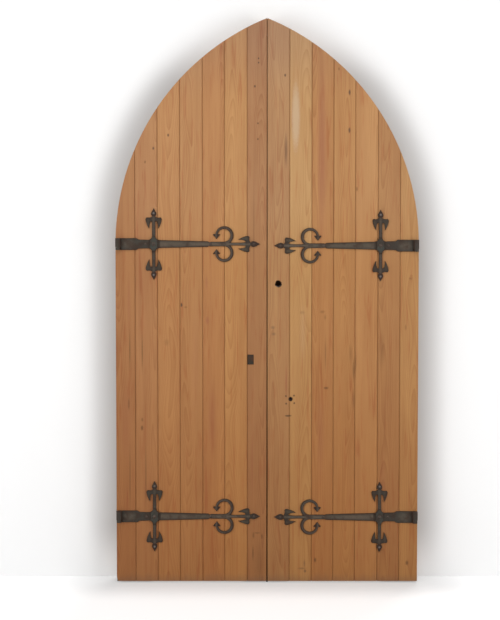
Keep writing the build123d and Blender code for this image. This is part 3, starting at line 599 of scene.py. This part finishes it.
def dressTimber(node, tone, turn, index):
    look = timberFinish
    low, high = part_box(node)
    material, tree, shader, spot = newMaterial("timber_" + node)
    pale, deep = timberTones[tone]
    centred = stretched(tree, spot["Object"], shift=tuple(-(low + high) / 2))
    slid = stretched(tree, centred, turn=(0, math.radians(turn), 0),
                     shift=(look["aside"] * (index % 4), 0, index * look["apart"]))
    grain = place(tree, pineGrain, Vector=slid, Pale=pale, Deep=deep,
                  Heart=look["heartAside"] * (index % 5 - 2),
                  Depth=look["heart"] + look["heartStep"] * (index % 3),
                  Ring=look["ring"] + look["ringStep"] * (index % 5))
    _, _, z = parts(tree, spot["Object"])
    grime = cloud(tree, spot["Object"], *look["grime"])
    wood = blendColour(tree, fade(tree, grime, *look["dust"]), grain["Color"], look["dustColour"])
    wood = blendColour(tree, fade(tree, z, *look["foot"]), wood, look["footColour"])
    wood, bored = markWood(tree, spot["Object"], wood, timberMarks.get(node, []))
    tree.links.new(wood, shader.inputs["Base Color"])
    tree.links.new(most(tree, fade(tree, grime, *look["rough"]), bored), shader.inputs["Roughness"])
    shader.inputs["Specular IOR Level"].default_value = look["shine"]
    bumped(tree, shader, grain["Height"], *look["bump"])
    dress(node, material)


def dressTimbers():
    index = 0
    for side, hand in (("left", -1), ("right", 1)):
        for name, (tone, turn) in timberLook.items():
            dressTimber(f"{side}_{name}", tone, hand * turn, index)
            index += 1
    dressTimber("frame_pegs", "peg", 0.0, index)
    print("timbers dressed")


# Ironwork
ironLook = {
    "hinge": dict(steel=(0.028, 0.018, 0.012, 1), rust=(0.032, 0.013, 0.006, 1), rusting=0.6, shine=0.28),
    "fixing": dict(steel=(0.115, 0.105, 0.098, 1), rust=(0.085, 0.045, 0.028, 1), rusting=0.4, shine=0.5),
    "keeper": dict(steel=(0.026, 0.021, 0.014, 1), rust=(0.060, 0.024, 0.010, 1), rusting=0.9, shine=0.25),
}
ironBump = (0.0012, 0.5)
# Zones of a hinge, in the order they are laid over the steel: colour and strength
# The last zone, the lighter ridge, is wear and a painted highlight
hingeTones = {
    "Plate": ((0.034, 0.026, 0.020, 1), 1.0), "Green": ((0.038, 0.042, 0.036, 1), 0.7),
    "Brown": ((0.028, 0.014, 0.009, 1), 0.75), "Hollow": ((0.064, 0.046, 0.029, 1), 0.8),
    "BareAndHighlight": ((0.102, 0.076, 0.055, 1), 0.8),
}
# Bolt heads painted darker on their fronts: their |x| and z, the colour, and how far out and how deep it
# goes
darkerBolts = {
    "across": (0.525, 0.4895, 0.244, 0.050), "levels": (1.4725, 0.290), "colour": (0.034, 0.022, 0.016, 1),
    "edge": (0.014, 0.010), "tall": 0.5, "front": (-0.020, -0.030),
}


def darkenBoltFronts(tree, spot, steel):
    look = darkerBolts
    x, y, z = parts(tree, spot)
    for middle in look["across"]:
        for level in look["levels"]:
            across = apart(tree, calc(tree, "ABSOLUTE", x), middle)
            away = most(tree, across, times(tree, apart(tree, z, level), look["tall"]))
            near = times(tree, fade(tree, away, *look["edge"]), fade(tree, y, *look["front"]))
            steel = blendColour(tree, near, steel, look["colour"])
    return steel


def ironMaterial(name, kind, height=None):
    look = ironLook[kind]
    material, tree, shader, spot = newMaterial(name + "_iron")
    steel = look["steel"]
    if height is not None:
        zones = place(tree, hingeZones, Vector=spot["Object"], Height=height)
        for zone, (tone, strength) in hingeTones.items():
            steel = blendColour(tree, times(tree, zones[zone], strength), steel, tone)
    if kind == "fixing":
        steel = darkenBoltFronts(tree, spot["Object"], steel)
    iron = place(tree, forgedIron, Vector=spot["Object"], Normal=spot["Normal"], Steel=steel,
                 Rust=look["rust"], Rusting=look["rusting"])
    for output, socket in (("Color", "Base Color"), ("Metal", "Metallic"), ("Rough", "Roughness")):
        tree.links.new(iron[output], shader.inputs[socket])
    shader.inputs["Specular IOR Level"].default_value = look["shine"]
    bumped(tree, shader, iron["Height"], *ironBump)
    return material


def dressIron():
    for side in ("left", "right"):
        for level in ("upper", "lower"):
            low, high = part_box(f"{side}_{level}_strap")
            material = ironMaterial(f"{side}_{level}_hinge", "hinge", height=(low.z + high.z) / 2)
            for piece in ("strap", "cross_bar", "pintle"):
                dress(f"{side}_{level}_{piece}", material)
    fixing = ironMaterial("fixing", "fixing")
    for side in ("left", "right"):
        for piece in ("leaf_bolts", "leaf_nuts", "leaf_screws"):
            dress(f"{side}_{piece}", fixing)
    dress("keeper_plate", ironMaterial("keeper", "keeper"))
    print("ironwork dressed")


dressBoards()
dressTimbers()
dressIron()

# Floor and wall, pale and plain. Shade: the depth of the painted shadow beside the doors and how far it
# reaches.
# Doorway: where the wall is painted near black as shade inside the arch. Slit: the painted shade line on
# the floor under the meeting line, by |x| and y. Fades: heights where the painted shadow goes out at the
# top and at the wall's foot.
stageLook = {
    "floor": {"tone": 0.86, "glow": 0.46, "shade": 0.30, "reach": 0.34},
    "wall": {"tone": 0.97, "glow": 0.03, "shade": 0.40, "reach": 0.17},
    "size": 14.0, "wallY": 0.078, "wallHeight": 6.0, "rough": 0.9, "topFade": (2.42, 2.15),
    "footFade": (0.0, 0.25), "paintedShadeColour": (0.02, 0.015, 0.012, 1), "doorwayShade": (-0.035, -0.055),
    "slitShade": {"x": (0.005, 0.003), "front": (-0.030, -0.020), "back": (0.085, 0.075)},
}
outline = {"side": 0.656, "spring": 1.473, "arcRadius": 1.0466, "face": -0.0355}  # of the pair of doors


# How far a spot is from the doors: on the wall, distance past the arch's arc or the straight side;
# on the floor, distance from the line of the doors' feet.
def roundDoors(tree, name, x, y, z):
    aside = calc(tree, "ABSOLUTE", x)
    if name == "wall":
        across = calc(tree, "ADD", aside, outline["arcRadius"] - outline["side"])
        above = most(tree, less(tree, z, outline["spring"]), 0.0)
        return less(tree, diagonal(tree, across, above), outline["arcRadius"])
    across = most(tree, less(tree, aside, outline["side"]), 0.0)
    before = most(tree, less(tree, outline["face"], y), 0.0)
    return diagonal(tree, across, before)


# Paint for the floor or the wall: a painted shadow close round the doors, and painted shade, near black,
# where the doorway and the slit look into the dark. It glows to the camera alone, and the wall shows from
# the front only.
def paleSurface(name):
    look, onWall = stageLook[name], name == "wall"
    material, tree, shader, spot = newMaterial(name + "_paint")
    x, y, z = parts(tree, spot["Object"])
    away = roundDoors(tree, name, x, y, z)
    # Painted shadow: the paint and its glow turn greyer close round the doors, fading out over the reach
    shade = fade(tree, away, 0.0, look["reach"], look["shade"], 0.0)
    shade = times(tree, shade, fade(tree, z, *stageLook["topFade"]))
    if onWall:
        shade = times(tree, shade, fade(tree, z, *stageLook["footFade"]))
        # Painted shade: the wall inside the doorway's arch turns near black
        paintedShadeMask = fade(tree, away, *stageLook["doorwayShade"])
    else:
        # Painted shade: a near-black line on the floor under the meeting line
        slitShade = stageLook["slitShade"]
        paintedShadeMask = times(tree, fade(tree, y, *slitShade["front"]), fade(tree, y, *slitShade["back"]))
        paintedShadeMask = times(tree, fade(tree, calc(tree, "ABSOLUTE", x), *slitShade["x"]), paintedShadeMask)
    paint = blendColour(tree, shade, (look["tone"],) * 3 + (1,), (0, 0, 0, 1))
    tree.links.new(blendColour(tree, paintedShadeMask, paint, stageLook["paintedShadeColour"]), shader.inputs["Base Color"])
    shader.inputs["Roughness"].default_value = stageLook["rough"]
    shader.inputs["Specular IOR Level"].default_value = 0.0
    light = tree.nodes.new("ShaderNodeLightPath").outputs
    # The camera glow is cut where the painted shadow and the painted shade lie
    shown = times(tree, light["Is Camera Ray"], less(tree, 1.0, shade))
    shown = times(tree, shown, less(tree, 1.0, paintedShadeMask))
    glow = tree.nodes.new("ShaderNodeEmission")
    tree.links.new(times(tree, shown, look["glow"]), glow.inputs["Strength"])
    both = tree.nodes.new("ShaderNodeAddShader")
    tree.links.new(shader.outputs[0], both.inputs[0])
    tree.links.new(glow.outputs[0], both.inputs[1])
    finish = both
    if onWall:
        facing = tree.nodes.new("ShaderNodeNewGeometry").outputs["Backfacing"]
        clear = tree.nodes.new("ShaderNodeBsdfTransparent")
        finish = tree.nodes.new("ShaderNodeMixShader")
        tree.links.new(times(tree, light["Is Camera Ray"], less(tree, 1.0, facing)), finish.inputs[0])
        tree.links.new(clear.outputs[0], finish.inputs[1])
        tree.links.new(both.outputs[0], finish.inputs[2])
    tree.links.new(finish.outputs[0], tree.nodes["Material Output"].inputs["Surface"])
    return material


def makeStage():
    half, wallY, top = stageLook["size"] / 2, stageLook["wallY"], stageLook["wallHeight"]
    shapes = {
        "floor": [(-half, -half, 0), (half, -half, 0), (half, half, 0), (-half, half, 0)],
        "wall": [(-half, wallY, 0), (half, wallY, 0), (half, wallY, top), (-half, wallY, top)],
    }
    for name, corners in shapes.items():
        mesh = bpy.data.meshes.new(name)
        mesh.from_pydata(corners, [], [(0, 1, 2, 3)])
        piece = bpy.data.objects.new(name, mesh)
        bpy.context.scene.collection.objects.link(piece)
        mesh.materials.append(paleSurface(name))


# Lamps: place, size and power of each; all look at the middle of the doors
lampLook = {
    "key": ((-0.4, -3.4, 4.9), 2.4, 62.0),
    "left": ((-3.8, -3.3, 1.4), 3.2, 100.0),
    "right": ((3.8, -3.3, 1.4), 3.2, 100.0),
    "back": ((1.5, 4.5, 3.5), 3.0, 130.0),
}
lampTarget = Vector((0.0, 0.0, 1.2))
skyLook = {"colour": (1, 1, 1, 1), "light": 0.28, "seen": 1.0}  # its light, and how bright it looks


def makeLamps():
    for name, (spot, size, power) in lampLook.items():
        data = bpy.data.lights.new(name, "AREA")
        data.size, data.energy = size, power
        lamp = bpy.data.objects.new(name, data)
        lamp.location = spot
        lamp.rotation_euler = (lampTarget - Vector(spot)).to_track_quat("-Z", "Y").to_euler()
        bpy.context.scene.collection.objects.link(lamp)
    world = bpy.data.worlds.new("studio")
    bpy.context.scene.world = world
    world.use_nodes = True
    tree = world.node_tree
    sky = tree.nodes["Background"]
    sky.inputs["Color"].default_value = skyLook["colour"]
    light = tree.nodes.new("ShaderNodeLightPath").outputs
    seen = calc(tree, "ADD", light["Is Camera Ray"], light["Is Glossy Ray"])
    seen = calc(tree, "ADD", seen, light["Is Transmission Ray"], clamp=True)
    tree.links.new(fade(tree, seen, 0.0, 1.0, skyLook["light"], skyLook["seen"]), sky.inputs["Strength"])


# Camera: what it looks at on the doors' face, how far off it is and how many degrees it looks down.
# Lens = sensor width x distance / height of the view there.
cameraLook = {
    "x": -0.074, "z": 1.191, "faceY": -0.0355, "distance": 6.0, "down": 2.68,
    "viewHeight": 2.683, "sensor": 36.0,
}


def makeCamera():
    look = cameraLook
    data = bpy.data.cameras.new("camera")
    camera = bpy.data.objects.new("camera", data)
    bpy.context.scene.collection.objects.link(camera)
    down = math.radians(look["down"])
    camera.location = (look["x"], look["faceY"] - look["distance"] * math.cos(down),
                       look["z"] + look["distance"] * math.sin(down))
    camera.rotation_euler = (math.radians(90) - down, 0, 0)
    data.sensor_width = look["sensor"]
    data.lens = look["sensor"] * look["distance"] / look["viewHeight"]
    bpy.context.scene.camera = camera


makeStage()
makeLamps()
makeCamera()
bpy.context.scene.view_settings.view_transform = "Standard"
print("stage, lamps and camera ready")
